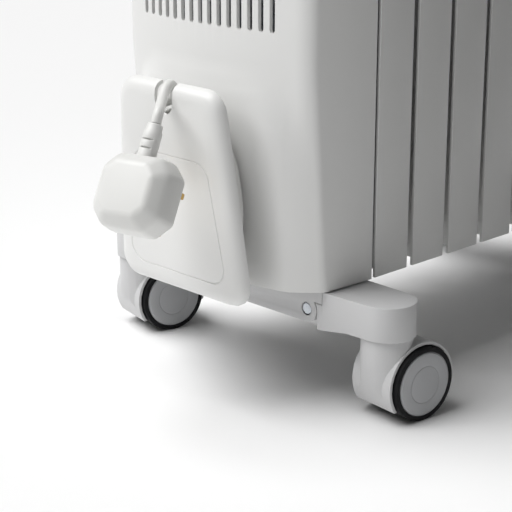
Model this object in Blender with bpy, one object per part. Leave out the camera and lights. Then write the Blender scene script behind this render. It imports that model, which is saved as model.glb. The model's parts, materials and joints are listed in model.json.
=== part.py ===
"""An oil filled radiator heater on folding castors, in metres.

Z is up and the floor is Z = 0. The control end faces -Y, the fins follow along +Y,
and the middle of the heater, without its cord, is over the origin."""

from math import atan2, cos, hypot, pi, radians, sin, tan

import bmesh
import bpy
from mathutils import Matrix, Vector

GAP = 0.0003  # between touching pieces
MOVING_GAP = 0.0005  # between pieces that turn against each other

# Overall.
FIN_COUNT = 8
FIN_HALF_WIDTH = 0.0865
FIN_TOP = 0.600

# Castors: twin wheels under a hood that swivels in the end of the arm.
WHEEL_RADIUS = 0.0243
WHEEL_OUTER = 0.0200  # from the castor's middle to a wheel's outer face
WHEEL_INNER = 0.0032
WHEEL_STEPS = 20
DISC_RADIUS = WHEEL_RADIUS - 0.0035
HOOD_RADIUS = WHEEL_RADIUS + 0.0029
HOOD_HALF_WIDTH = 0.0175
HOOD_CLEARANCE = 0.0010  # round a wheel
HOOD_WEB = 0.0026
HOOD_BACK_ANGLE = radians(-13)
HOOD_FRONT_ANGLE = radians(213)
TRAIL = 0.0142
NECK_RADIUS = 0.0167
STEM_RADIUS = 0.0050
ARM_BOTTOM = WHEEL_RADIUS + HOOD_RADIUS + 0.0040  # the underside of the arms, over the castors
STEM_TOP = ARM_BOTTOM + 0.0175
AXLE_RADIUS = 0.0030
# How far each castor has turned where the heater stands.
CASTOR_TURN = {
    "front_right": radians(-6.5),
    "front_left": radians(-12.5),
    "rear_right": radians(12.5),
    "rear_left": radians(6.5),
}

# Feet: a channel across each end, with an arm at either side that folds down.
FOOT_HALF_DEPTH = 0.0195
FOOT_BOTTOM = ARM_BOTTOM - 0.0002
FOOT_TOP = ARM_BOTTOM + 0.0235
FOOT_WALL = 0.0025
HINGE_X = FIN_HALF_WIDTH - 0.020
HINGE_Z = ARM_BOTTOM + 0.0085
EAR_RADIUS = HINGE_Z - FOOT_BOTTOM
EAR_SHOULDER = 0.006  # above the hinge, where the ear meets the beam's straight end
EAR_THICK = 0.0052
ARM_END_RADIUS = 0.0182
ARM_ROOT_X = HINGE_X + 0.0137
ARM_LIP = ARM_BOTTOM - 0.0030
ARM_TOP = ARM_BOTTOM + 0.0227
SCREW_RADIUS = 0.0024
SCREW_HEAD_RADIUS = 0.0042
SWIVEL_X = HINGE_X + 0.0515

# Radiator: pressed steel fins, joined by a header tube at the top and one at the bottom.
FIN_PITCH = 0.0372
FIN_PANEL = 0.0317  # length of a fin's outer panel along Y
FIN_BOTTOM = FOOT_TOP + 0.0005
FIN_SHEET = 0.0022
FIN_CORNER = 0.024
FIN_WEB = 0.010
FIN_WEB_WALL = 0.0016
HEADER_RADIUS = 0.020
HEADER_BORE = 0.016
HEADER_INSET = 0.040  # header centre to the end of the fin
BLIND_WALL = 0.003

# Heating element: a U in the bottom header, on a flange with a gasket.
FLANGE_RADIUS = 0.0235
FLANGE_THICK = 0.006
GASKET_THICK = 0.002
ELEMENT_RADIUS = 0.004
ELEMENT_SPREAD = 0.0078  # from the header's middle to each leg
ELEMENT_ENDS = 0.009  # how far the legs stand out of the flange
FILLER_RADIUS = 0.009
FILLER_LENGTH = 0.006

# Front housing: the cover of the control end.
HOUSING_WALL = 0.0026
HOUSING_FRONT_HALF = FIN_HALF_WIDTH - 0.0025
HOUSING_BACK_HALF = FIN_HALF_WIDTH - 0.0005
HOUSING_CORNER = 0.006
HOUSING_TOP = FIN_TOP + 0.020
HOUSING_DEPTH = 0.0684  # from the middle of the upper front to the back edge
BOW_RADIUS = 0.285
LEAN = radians(4.3)  # of the lower front and of everything that is fixed to it
LEAN_TOP = 0.222
SWELL = 0.0085
SWELL_HALF_WIDTH = HOUSING_FRONT_HALF - 0.002
SWELL_MIDDLE = 0.110
SHOULDER = 0.22  # share of the swelling that its soft edge takes
SWELL_STEPS = 14
PANEL_BOTTOM = HOUSING_TOP - 0.072  # where the sloping control panel starts
PANEL_TOP = HOUSING_TOP - 0.014
PANEL_RUN_IN = 0.070  # height over which the bowed front turns flat below the panel
TOP_EDGE = 0.004  # of the housing, rounded
FRONT_STEPS = 15  # from the middle of the front to its edge
PANEL_TILT = radians(24)
HOUSING_TO_FIN = 0.0027
FOOT_SETBACK = 0.0479  # from the middle of the upper front to the swivel axes
REAR_FOOT_INSET = 0.0217  # from the last fin's back to the rear swivel axes

VENT_COUNT = 15
VENT_PITCH = 0.0082
VENT_WIDTH = 0.0038
VENT_BOTTOM = 0.2415
VENT_HEIGHT = 0.118

# Cord store: a plate on a hub, in a frame that leans as the lower front does.
PLATE_FRONT = 0.0320  # from the housing's middle line to the plate's front
PLATE_DEPTH = 0.008
PLATE_WALL = 0.0024
PLATE_BOTTOM = -0.006
PLATE_TOP = 0.1315
PLATE_BOTTOM_HALF = 0.0605
PLATE_TOP_HALF = 0.0463
PLATE_CORNER = 0.015
PLATE_EDGE = 0.008  # width of the rounded edge of its front
NOTCH_X = -0.0014
NOTCH_WIDTH = 0.0162
NOTCH_DEPTH = 0.0195
HUB_HALF_WIDTH = 0.023
HUB_HALF_HEIGHT = 0.036
HUB_CORNER = 0.0229
HUB_Z = 0.056
COIL_THICK = 0.0239  # of the wound cord round the hub

# Mains cord and plug.
CORD_RADIUS = 0.0033
GLAND_X = -0.034
GLAND_Z = 0.014
GLAND_RADIUS = 0.0062
GLAND_COLLAR = 0.0018
GLAND_SLACK = 0.0015  # between the collar and the bowed wall
PLUG_HALF_WIDTH = 0.0256
PLUG_HEIGHT = 0.048
PLUG_DEPTH = 0.026
PLUG_TWIST = radians(13)
PLUG_TILT = radians(-29)
PIN_SPREAD = 0.0111  # half the distance between the two flat pins
PIN_DROP = 0.0155  # from the plug's cord end to the two flat pins
EARTH_DROP = 0.0222  # from there to the earth pin
PIN_LENGTH = 0.0177
EARTH_LENGTH = 0.0227
PIN_SEAT = 0.006
RELIEF_LENGTH = 0.0200
RELIEF_RADIUS = 0.0058

# Steel plate behind the housing, with folded sides.
CHASSIS_INSET = 0.003
CHASSIS_SHEET = 0.0015
CHASSIS_FOLD = 0.016

# Controls.
FASCIA_HALF_WIDTH = HOUSING_FRONT_HALF - 0.016
FASCIA_HALF_HEIGHT = 0.0265
FASCIA_THICK = 0.003
KNOB_X = -0.036
KNOB_RADIUS = 0.0200
KNOB_HEIGHT = 0.0150
SHAFT_RADIUS = 0.0030
SHAFT_LENGTH = 0.012  # behind the housing's front
THERMOSTAT_DEPTH = 0.026
THERMOSTAT_HALF_WIDTH = 0.017
THERMOSTAT_HALF_HEIGHT = 0.014
SWITCH_X = 0.036
SWITCH_HALF_WIDTH = 0.0215
SWITCH_HALF_HEIGHT = 0.0145
SWITCH_DEPTH = 0.020
ROCKER_HALF_WIDTH = 0.0085
ROCKER_HALF_HEIGHT = 0.0110
ROCKER_SPREAD = 0.0101
ROCKER_TILT = radians(7)
LAMP_X = 0.0
LAMP_RADIUS = 0.003

# Carrying handle.
HANDLE_HALF_WIDTH = HOUSING_FRONT_HALF - 0.028
HANDLE_THICK = 0.014
HANDLE_DEPTH = 0.022
HANDLE_TOP = HOUSING_TOP + 0.042
HANDLE_CORNER = 0.022

REAR_COVER_DEPTH = 0.0250
REAR_COVER_WALL = 0.002

# Along Y: the plate's front edge and the rear cover's back are equally far from the origin.
RADIATOR_LENGTH = (FIN_COUNT - 1) * FIN_PITCH + FIN_PANEL
PLATE_REACH = PLATE_FRONT * cos(LEAN) + (PLATE_TOP - PLATE_EDGE - (LEAN_TOP - FOOT_TOP) / cos(LEAN)) * sin(LEAN)
LENGTH = PLATE_REACH + HOUSING_DEPTH + HOUSING_TO_FIN + RADIATOR_LENGTH + GAP + REAR_COVER_DEPTH
HOUSING_FRONT_Y = PLATE_REACH - LENGTH / 2
HOUSING_BACK_Y = HOUSING_FRONT_Y + HOUSING_DEPTH
FIN_START_Y = HOUSING_BACK_Y + HOUSING_TO_FIN
FRONT_FOOT_Y = HOUSING_FRONT_Y + FOOT_SETBACK
REAR_FOOT_Y = FIN_START_Y + RADIATOR_LENGTH - REAR_FOOT_INSET
BOTTOM_HEADER_Z = FIN_BOTTOM + HEADER_INSET
TOP_HEADER_Z = FIN_TOP - HEADER_INSET


# ---------------------------------------------------------------- shapes


def circle(radius, steps, x=0.0, z=0.0, start=0.0):
    angles = [start + 2 * pi * i / steps for i in range(steps)]
    return [(x + radius * cos(a), z + radius * sin(a)) for a in angles]


def arc(x, z, radius, start, end, steps):
    angles = [start + (end - start) * i / steps for i in range(steps + 1)]
    return [(x + radius * cos(a), z + radius * sin(a)) for a in angles]


def inset(corners, distance):
    """The anticlockwise convex outline with every side moved inwards."""
    moved = []
    for i, (x, z) in enumerate(corners):
        before, after = corners[i - 1], corners[(i + 1) % len(corners)]
        a = Vector((x - before[0], z - before[1])).normalized()
        b = Vector((after[0] - x, after[1] - z)).normalized()
        side = Vector((-a.y - b.y, a.x + b.x))
        side *= distance / (1 + a.dot(b))
        moved.append((x + side.x, z + side.y))
    return moved


def rounded(corners, radius, steps):
    """The anticlockwise convex outline with each corner an arc of that radius."""
    outline = []
    for i, corner in enumerate(corners):
        here = Vector(corner)
        back = (Vector(corners[i - 1]) - here).normalized()
        ahead = (Vector(corners[(i + 1) % len(corners)]) - here).normalized()
        half = back.angle(ahead) / 2
        centre = here + (back + ahead).normalized() * radius / sin(half)
        start = here + back * radius / tan(half) - centre
        turn = pi - 2 * half
        first = atan2(start.y, start.x)
        outline += arc(centre.x, centre.y, radius, first, first + turn, steps)
    return outline


def box_corners(left, right, bottom, top):
    return [(left, bottom), (right, bottom), (right, top), (left, top)]


def rounded_box(half_width, half_height, radius, steps, x=0.0, z=0.0):
    corners = box_corners(x - half_width, x + half_width, z - half_height, z + half_height)
    return rounded(corners, radius, steps)


def finished(bm):
    bmesh.ops.recalc_face_normals(bm, faces=bm.faces)
    mesh = bpy.data.meshes.new("shape")
    bm.to_mesh(mesh)
    bm.free()
    return mesh


def lofted(rings, caps=(True, True)):
    """A skin through rings of points in space, with flat ends where caps say so."""
    bm = bmesh.new()
    loops = [[bm.verts.new(point) for point in ring] for ring in rings]
    count = len(loops[0])
    for low, high in zip(loops, loops[1:]):
        for i in range(count):
            j = (i + 1) % count
            bm.faces.new((low[i], low[j], high[j], high[i]))
    for cap, loop in zip(caps, (loops[0], loops[-1])):
        if cap:
            bm.faces.new(loop)
    return finished(bm)


def along_y(outline, start, end):
    """A prism of an (x, z) outline."""
    return lofted([[(x, y, z) for x, z in outline] for y in (start, end)])


def along_x(outline, start, end):
    """A prism of a (y, z) outline."""
    return lofted([[(x, y, z) for y, z in outline] for x in (start, end)])


def along_z(outline, start, end):
    """A prism of an (x, y) outline."""
    return lofted([[(x, y, z) for x, y in outline] for z in (start, end)])


def block(left, right, front, back, bottom, top):
    return along_y(box_corners(left, right, bottom, top), front, back)


def ring_along_y(outer, inner, start, end):
    """A prism between two outlines with as many points."""
    loops = [[(x, y, z) for x, z in line] for line, y in
             ((outer, start), (outer, end), (inner, end), (inner, start))]
    return lofted(loops + loops[:1], (False, False))


def merged(mesh, distance=1e-6):
    bm = bmesh.new()
    bm.from_mesh(mesh)
    bmesh.ops.remove_doubles(bm, verts=bm.verts, dist=distance)
    return finished(bm)


def turned_x(profile, steps, start=0.0):
    """A body of revolution about X from (x, radius) points; the ends lie on the axis."""
    bm = bmesh.new()
    rings = []
    for x, radius in profile:
        if radius == 0:
            rings.append([bm.verts.new((x, 0, 0))])
        else:
            ring = circle(radius, steps, start=start)
            rings.append([bm.verts.new((x, y, z)) for y, z in ring])
    for low, high in zip(rings, rings[1:]):
        for i in range(steps):
            j = (i + 1) % steps
            corners = [low[i % len(low)], low[j % len(low)], high[j % len(high)], high[i % len(high)]]
            bm.faces.new(dict.fromkeys(corners))
    return finished(bm)


def moved(mesh, offset=(0, 0, 0), turn=None):
    """A copy of the mesh, turned and then moved."""
    copy = mesh.copy()
    if turn is not None:
        copy.transform(turn)
    copy.transform(Matrix.Translation(offset))
    return copy


def turned_y(profile, steps):
    """As turned_x, with each x taken along Y."""
    return moved(turned_x(profile, steps), turn=Matrix.Rotation(pi / 2, 4, "Z"))


def combined(base, joins=(), cuts=(), wall=None):
    """The base, thickened inwards by a wall if it is a skin, with the joins added and the cuts
    taken away."""
    body = bpy.data.objects.new("body", base)
    helpers = []
    if wall:
        solidify = body.modifiers.new("wall", "SOLIDIFY")
        solidify.thickness = wall
        solidify.offset = -1
        solidify.use_even_offset = True
    for operation, meshes in (("UNION", joins), ("DIFFERENCE", cuts)):
        for mesh in meshes:
            helper = bpy.data.objects.new("helper", mesh)
            modifier = body.modifiers.new(operation, "BOOLEAN")
            modifier.operation = operation
            modifier.object = helper
            helpers.append(helper)
    for item in [body] + helpers:
        bpy.context.scene.collection.objects.link(item)
    graph = bpy.context.evaluated_depsgraph_get()
    result = bpy.data.meshes.new_from_object(body.evaluated_get(graph))
    for item in [body] + helpers:
        bpy.data.objects.remove(item)
    return result


def together(meshes):
    """Separate closed meshes as one cutter."""
    bm = bmesh.new()
    for mesh in meshes:
        bm.from_mesh(mesh)
    return finished(bm)


# ---------------------------------------------------------------- materials and objects


def material(name, colour, roughness, metallic=0.0):
    made = bpy.data.materials.new(name)
    made.use_nodes = True
    shader = made.node_tree.nodes["Principled BSDF"]
    shader.inputs["Base Color"].default_value = (*colour, 1)
    shader.inputs["Roughness"].default_value = roughness
    shader.inputs["Metallic"].default_value = metallic
    return made


def place(name, mesh, look, location=(0, 0, 0), turn=0.0, parent=None):
    """A named object of the mesh, turned about Z, under its parent's frame."""
    if not mesh.materials:
        mesh.materials.append(look)
        mesh.shade_smooth()
        mesh.set_sharp_from_angle(angle=radians(32))
    item = bpy.data.objects.new(name, mesh)
    item.location = location
    item.rotation_euler.z = turn
    item.parent = parent
    bpy.context.scene.collection.objects.link(item)
    return item


def frame(name, location, tilt=0.0, turn=0.0):
    empty = bpy.data.objects.new(name, None)
    empty.location = location
    empty.rotation_euler = (tilt, 0, turn)
    empty.empty_display_size = 0.02
    bpy.context.scene.collection.objects.link(empty)
    return empty


# ---------------------------------------------------------------- radiator


def fin_band(half_width, corner, bottom, top):
    """The right half first: up one side, over the top and down the other side."""
    right = arc(half_width - corner, top - corner, corner, 0, pi / 2, 5)
    left = arc(corner - half_width, top - corner, corner, pi / 2, pi, 5)
    return [(half_width, bottom)] + right + left + [(-half_width, bottom)]


def fin_mesh(front_open, rear_open):
    """One fin about Y = 0. The band is its folded rim, the web holds the oil channel."""
    outer = fin_band(FIN_HALF_WIDTH, FIN_CORNER, FIN_BOTTOM, FIN_TOP)
    inner = fin_band(FIN_HALF_WIDTH - FIN_SHEET, FIN_CORNER - FIN_SHEET, FIN_BOTTOM, FIN_TOP - FIN_SHEET)
    band = along_y(outer + inner[::-1], -FIN_PANEL / 2, FIN_PANEL / 2)
    half = FIN_HALF_WIDTH - FIN_SHEET / 2
    web = fin_band(half, FIN_CORNER - FIN_SHEET / 2, FIN_BOTTOM + 0.001, FIN_TOP - FIN_SHEET / 2)
    web = along_y(web, -FIN_WEB / 2, FIN_WEB / 2)
    reach = FIN_PITCH / 2 - GAP / 2
    headers, bores = [], []
    for z, open_front in ((BOTTOM_HEADER_Z, True), (TOP_HEADER_Z, front_open)):
        headers.append(along_y(circle(HEADER_RADIUS, 16, z=z), -reach, reach))
        start = -FIN_PITCH if open_front else BLIND_WALL - reach
        end = FIN_PITCH if rear_open else reach - BLIND_WALL
        bores.append(along_y(circle(HEADER_BORE, 16, z=z), start, end))
    channel_half = FIN_HALF_WIDTH - FIN_CORNER
    hollow = FIN_WEB / 2 - FIN_WEB_WALL
    channel = block(-channel_half, channel_half, -hollow, hollow, BOTTOM_HEADER_Z, TOP_HEADER_Z)
    return combined(band, [web] + headers, bores + [channel])


def fin_y(number):
    return FIN_START_Y + FIN_PANEL / 2 + (number - 1) * FIN_PITCH


def make_fins(look):
    meshes = {
        1: fin_mesh(False, True),
        FIN_COUNT: fin_mesh(True, False),
    }
    middle = fin_mesh(True, True)
    for number in range(1, FIN_COUNT + 1):
        mesh = meshes.get(number, middle)
        place(f"fin_{number:02d}", mesh, look, (0, fin_y(number), 0))


def make_heating(steel, rubber, brass):
    """The U-shaped element lies in the bottom header and leaves it through a flange."""
    header_front = fin_y(1) - FIN_PITCH / 2 + GAP / 2
    gasket_y = header_front - GAP - GASKET_THICK
    ring = ring_along_y(circle(FLANGE_RADIUS, 20), circle(HEADER_BORE + 0.001, 20), 0, GASKET_THICK)
    place("flange_gasket", merged(ring), rubber, (0, gasket_y, BOTTOM_HEADER_Z))

    flange_y = gasket_y - GAP - FLANGE_THICK
    hole = ELEMENT_RADIUS + GAP
    holes = [along_y(circle(hole, 10, x=x), -FLANGE_THICK, 2 * FLANGE_THICK)
             for x in (-ELEMENT_SPREAD, ELEMENT_SPREAD)]
    disc = along_y(circle(FLANGE_RADIUS, 20), 0, FLANGE_THICK)
    place("element_flange", combined(disc, cuts=holes), brass, (0, flange_y, BOTTOM_HEADER_Z))

    front = flange_y - ELEMENT_ENDS
    back = fin_y(FIN_COUNT) - ELEMENT_SPREAD
    bend = arc(0, back, ELEMENT_SPREAD, 0, pi, 8)
    line = [(ELEMENT_SPREAD, front)] + bend + [(-ELEMENT_SPREAD, front)]
    tube("heating_element", [(x, y, BOTTOM_HEADER_Z) for x, y in line], ELEMENT_RADIUS, steel)

    plug_y = fin_y(FIN_COUNT) + FIN_PITCH / 2 + GAP / 2
    profile = [(0, 0), (0, FILLER_RADIUS), (FILLER_LENGTH - 0.002, FILLER_RADIUS),
               (FILLER_LENGTH, FILLER_RADIUS - 0.002), (FILLER_LENGTH, 0)]
    place("filler_plug", turned_y(profile, 12), steel, (0, plug_y, TOP_HEADER_Z))


def tube(name, points, radius, look, resolution=2):
    line = bpy.data.curves.new(name, "CURVE")
    line.dimensions = "3D"
    spline = line.splines.new("POLY")
    spline.points.add(len(points) - 1)
    for point, place_of in zip(spline.points, points):
        point.co = (*place_of, 1)
    line.bevel_depth = radius
    line.bevel_resolution = resolution
    line.use_fill_caps = True
    line.materials.append(look)
    item = bpy.data.objects.new(name, line)
    bpy.context.scene.collection.objects.link(item)
    return item


# ---------------------------------------------------------------- housing


def smooth(share):
    share = min(max(share, 0.0), 1.0)
    return share * share * (3 - 2 * share)


def front_line(z):
    """Y of the housing's middle front at a height."""
    if z < LEAN_TOP:
        return HOUSING_FRONT_Y + (LEAN_TOP - z) * tan(LEAN)
    if z > PANEL_BOTTOM:
        return HOUSING_FRONT_Y + sag_flat() + (min(z, PANEL_TOP) - PANEL_BOTTOM) * tan(PANEL_TILT)
    return HOUSING_FRONT_Y + sag_flat() * smooth((z - PANEL_BOTTOM + PANEL_RUN_IN) / PANEL_RUN_IN)


def sag_flat():
    """How far the bow's middle is drawn back where the front turns flat, for the control panel."""
    return 0.4 * HOUSING_FRONT_HALF ** 2 / (2 * BOW_RADIUS)


def bow(x, z):
    flat = smooth((z - PANEL_BOTTOM + PANEL_RUN_IN) / PANEL_RUN_IN)
    return (1 - flat) * x * x / (2 * BOW_RADIUS)


def swelling(x, z):
    """The soft boss that carries the cord store."""
    up = max(z - SWELL_MIDDLE, 0) / (LEAN_TOP - SWELL_MIDDLE)
    out = (abs(x / SWELL_HALF_WIDTH) ** 4 + up ** 4) ** 0.25
    return SWELL * smooth((1 - out) / SHOULDER)


def front_y(x, z):
    return front_line(z) + bow(x, z) - swelling(x, z)


def housing_ring(z, shrink=0.0):
    """The plan outline at a height, from the back right corner round the front to the back left."""
    half = HOUSING_FRONT_HALF - shrink
    flat = half - HOUSING_CORNER
    edge_y = front_y(HOUSING_FRONT_HALF, z) + shrink
    corner = arc(flat, edge_y + HOUSING_CORNER, HOUSING_CORNER, -pi / 2, 0, 3)[1:]
    side = [(HOUSING_BACK_HALF - shrink, HOUSING_BACK_Y)]
    fronts = [flat * i / FRONT_STEPS for i in range(-FRONT_STEPS, FRONT_STEPS + 1)]
    front = [(x, front_y(x, z) + shrink) for x in fronts]
    right = corner + side
    left = [(-x, y) for x, y in right[::-1]]
    return [(x, y, z) for x, y in left + front + right]


def housing_skin():
    """Open at the back and below; the top closes with a rounded edge."""
    rise = LEAN_TOP - SWELL_MIDDLE
    arch = [SWELL_MIDDLE + rise * share / SWELL_STEPS for share in range(1, SWELL_STEPS + 1)]
    lower = [FOOT_TOP + GAP, (FOOT_TOP + SWELL_MIDDLE) / 2, SWELL_MIDDLE] + arch
    run_in = [PANEL_BOTTOM - PANEL_RUN_IN * share for share in (1, 0.67, 0.33)]
    middle = run_in + [PANEL_BOTTOM, PANEL_TOP]
    rings = [housing_ring(z) for z in lower + middle]
    rings += [housing_ring(HOUSING_TOP - TOP_EDGE, 0.001), housing_ring(HOUSING_TOP, TOP_EDGE + 0.001)]
    bm = bmesh.new()
    loops = [[bm.verts.new(point) for point in ring] for ring in rings]
    for low, high in zip(loops, loops[1:]):
        for i in range(len(low) - 1):
            bm.faces.new((low[i], low[i + 1], high[i + 1], high[i]))
    bm.faces.new(loops[-1])
    bmesh.ops.recalc_face_normals(bm, faces=bm.faces)
    if bm.faces[0].normal.y > 0 and bm.faces[0].normal.x > 0:
        bmesh.ops.reverse_faces(bm, faces=bm.faces)
    mesh = bpy.data.meshes.new("housing_skin")
    bm.to_mesh(mesh)
    bm.free()
    return mesh


def in_store(mesh):
    """From the cord store's leaning frame to the world."""
    return moved(mesh, STORE_ORIGIN, Matrix.Rotation(LEAN, 4, "X"))


def in_panel(mesh):
    """From the control panel's tilted frame to the world."""
    return moved(mesh, PANEL_ORIGIN, Matrix.Rotation(-PANEL_TILT, 4, "X"))


STORE_ORIGIN = (0, front_line(FOOT_TOP), FOOT_TOP)
PANEL_MIDDLE_Z = (PANEL_BOTTOM + PANEL_TOP) / 2
PANEL_ORIGIN = (0, front_line(PANEL_MIDDLE_Z), PANEL_MIDDLE_Z)
HUB_FRONT = GAP + PLATE_WALL - PLATE_FRONT


def make_housing(look):
    hub = in_store(along_y(rounded_box(HUB_HALF_WIDTH, HUB_HALF_HEIGHT, HUB_CORNER, 9, z=HUB_Z),
                           HUB_FRONT, -SWELL + HOUSING_WALL / 2))
    pocket = rounded_box(HUB_HALF_WIDTH - HOUSING_WALL, HUB_HALF_HEIGHT - HOUSING_WALL,
                         HUB_CORNER - HOUSING_WALL, 4, z=HUB_Z)
    pocket = in_store(along_y(pocket, HUB_FRONT + HOUSING_WALL, 0.01))
    slots = []
    radius = VENT_WIDTH / 2
    low, high = VENT_BOTTOM + radius, VENT_BOTTOM + VENT_HEIGHT - radius
    for number in range(VENT_COUNT):
        x = (number - (VENT_COUNT - 1) / 2) * VENT_PITCH
        line = arc(x, low, radius, pi, 2 * pi, 4) + arc(x, high, radius, 0, pi, 4)
        slots.append(along_y(line, HOUSING_FRONT_Y - 0.01, HOUSING_FRONT_Y + 0.02))
    gland_hole = in_store(along_y(circle(GLAND_RADIUS + GAP, 12, GLAND_X, GLAND_Z), -0.02, 0.01))
    shaft_hole = in_panel(along_y(circle(SHAFT_RADIUS + 0.001, 10, x=KNOB_X), -0.01, 0.01))
    switch_hole = in_panel(block(SWITCH_X - SWITCH_HALF_WIDTH - GAP, SWITCH_X + SWITCH_HALF_WIDTH + GAP,
                                 -0.01, 0.01, -SWITCH_HALF_HEIGHT - GAP, SWITCH_HALF_HEIGHT + GAP))
    lamp_hole = in_panel(along_y(circle(LAMP_RADIUS + GAP, 10, x=LAMP_X), -0.01, 0.01))
    cuts = [pocket, together(slots), gland_hole, shaft_hole, switch_hole, lamp_hole]
    place("front_housing", combined(housing_skin(), [hub], cuts, HOUSING_WALL), look)


def make_chassis(look):
    """A pressed steel plate behind the housing, with folded sides, screwed to the front header."""
    half = HOUSING_FRONT_HALF - HOUSING_WALL - CHASSIS_INSET
    back = HOUSING_BACK_Y - CHASSIS_INSET
    sheet = CHASSIS_SHEET
    low, high = FOOT_TOP + 0.004, FIN_TOP - 0.010
    plate = block(-half, half, back - sheet, back, low, high)
    sides = [block(x - sheet / 2, x + sheet / 2, back - CHASSIS_FOLD, back - sheet / 2, low + 0.0001,
                   high - 0.0001) for x in (sheet / 2 - half, half - sheet / 2)]
    header = along_y(circle(FLANGE_RADIUS + 0.002, 20, z=BOTTOM_HEADER_Z), back - 0.01, back + 0.01)
    top_header = along_y(circle(HEADER_RADIUS + 0.002, 16, z=TOP_HEADER_Z), back - 0.01, back + 0.01)
    place("chassis_plate", combined(plate, sides, [header, top_header]), look)
    return back - sheet


def make_inner_parts(plate_y, ceramic, steel):
    front = plate_y - GAP
    terminal = block(-0.024, 0.024, -0.014, 0, -0.009, 0.009)
    steps = [block(x - 0.001, x + 0.001, -0.02, -0.008, -0.02, 0.02) for x in (-0.012, 0, 0.012)]
    place("terminal_block", combined(terminal, cuts=steps), ceramic, (0.03, front, 0.185))
    profile = [(0, 0), (0, 0.011), (-0.002, 0.011), (-0.002, 0.008), (-0.009, 0.0075), (-0.009, 0)]
    place("thermal_cutout", turned_y(profile, 16), steel, (-0.045, front, 0.150))


# ---------------------------------------------------------------- controls


def make_controls(plastic, dark, lamp):
    tilted = frame("panel_frame", PANEL_ORIGIN, tilt=-PANEL_TILT)
    back = -GAP
    face = back - FASCIA_THICK
    shaft = along_y(circle(SHAFT_RADIUS + 0.001, 10, x=KNOB_X), -0.02, 0.01)
    window = block(SWITCH_X - SWITCH_HALF_WIDTH - GAP, SWITCH_X + SWITCH_HALF_WIDTH + GAP, -0.02, 0.01,
                   -SWITCH_HALF_HEIGHT - GAP, SWITCH_HALF_HEIGHT + GAP)
    eye = along_y(circle(LAMP_RADIUS + GAP, 10, x=LAMP_X), -0.02, 0.01)
    slab = along_y(rounded_box(FASCIA_HALF_WIDTH, FASCIA_HALF_HEIGHT, 0.008, 5), face, back)
    place("control_fascia", combined(slab, cuts=[shaft, window, eye]), plastic, parent=tilted)

    # The knob turns about the tilted frame's Y; its shaft ends in the thermostat.
    inside = HOUSING_WALL + GAP
    foot = face - MOVING_GAP
    profile = [(SHAFT_LENGTH, 0), (SHAFT_LENGTH, SHAFT_RADIUS), (foot, SHAFT_RADIUS), (foot, KNOB_RADIUS),
               (foot - KNOB_HEIGHT + 0.003, KNOB_RADIUS - 0.001),
               (foot - KNOB_HEIGHT, KNOB_RADIUS - 0.004), (foot - KNOB_HEIGHT, 0)]
    pointer = block(-0.0012, 0.0012, foot - KNOB_HEIGHT - 0.001, foot - KNOB_HEIGHT + 0.002, 0.004, 0.0145)
    knob = combined(turned_y(profile, 28), [pointer])
    place("thermostat_knob", knob, plastic, (KNOB_X, 0, 0), parent=tilted)

    case = block(-THERMOSTAT_HALF_WIDTH, THERMOSTAT_HALF_WIDTH, inside, inside + THERMOSTAT_DEPTH,
                 -THERMOSTAT_HALF_HEIGHT, THERMOSTAT_HALF_HEIGHT)
    bore = along_y(circle(SHAFT_RADIUS + MOVING_GAP, 10), 0, SHAFT_LENGTH + 0.0015)
    place("thermostat_body", combined(case, cuts=[bore]), dark, (KNOB_X, 0, 0), parent=tilted)

    lip = face - 0.0015
    body = block(-SWITCH_HALF_WIDTH, SWITCH_HALF_WIDTH, lip, lip + SWITCH_DEPTH,
                 -SWITCH_HALF_HEIGHT, SWITCH_HALF_HEIGHT)
    wells = [block(x - ROCKER_HALF_WIDTH - MOVING_GAP, x + ROCKER_HALF_WIDTH + MOVING_GAP, lip - 0.01,
                   lip + 0.014, -ROCKER_HALF_HEIGHT - 0.0012, ROCKER_HALF_HEIGHT + 0.0012)
             for x in (-ROCKER_SPREAD, ROCKER_SPREAD)]
    place("switch_block", combined(body, cuts=wells), dark, (SWITCH_X, 0, 0), parent=tilted)

    # Each rocker tips about X: the half that stands out is pressed in to switch on.
    pivot = lip + 0.0045
    nose = -0.0065
    drop = ROCKER_HALF_HEIGHT * tan(ROCKER_TILT)
    side = [(nose, 0), (nose - drop + 0.0012, -ROCKER_HALF_HEIGHT), (0.0005, -ROCKER_HALF_HEIGHT)]
    side += arc(0.0005, 0, 0.007, -pi / 3, pi / 3, 5)
    side += [(0.0005, ROCKER_HALF_HEIGHT), (nose - drop + 0.0012, ROCKER_HALF_HEIGHT)]
    rocker = along_x(side, -ROCKER_HALF_WIDTH, ROCKER_HALF_WIDTH)
    rocker.transform(Matrix.Rotation(-ROCKER_TILT, 4, "X"))
    for name, x in (("rocker_low", -ROCKER_SPREAD), ("rocker_high", ROCKER_SPREAD)):
        place(name, rocker, plastic, (SWITCH_X + x, pivot, 0), parent=tilted)

    profile = [(0.004, 0), (0.004, LAMP_RADIUS), (face - 0.0005, LAMP_RADIUS),
               (face - 0.002, LAMP_RADIUS * 0.6), (face - 0.002, 0)]
    place("pilot_lamp", turned_y(profile, 12), lamp, (LAMP_X, 0, 0), parent=tilted)


def make_handle(look):
    foot = HOUSING_TOP + GAP
    inner = (HANDLE_HALF_WIDTH - HANDLE_THICK, HANDLE_TOP - HANDLE_THICK, HANDLE_CORNER - HANDLE_THICK * 0.8)
    outline = fin_band(HANDLE_HALF_WIDTH, HANDLE_CORNER, foot, HANDLE_TOP)
    outline += fin_band(inner[0], inner[2], foot, inner[1])[::-1]
    bar = along_y(outline, -HANDLE_DEPTH / 2, HANDLE_DEPTH / 2)
    item = place("carry_handle", bar, look, (0, HOUSING_BACK_Y - 0.018, 0))
    bevel = item.modifiers.new("soft_edges", "BEVEL")
    bevel.width = 0.003
    bevel.segments = 2
    bevel.limit_method = "ANGLE"
    bevel.angle_limit = radians(50)


# ---------------------------------------------------------------- cord store, cord and plug


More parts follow.
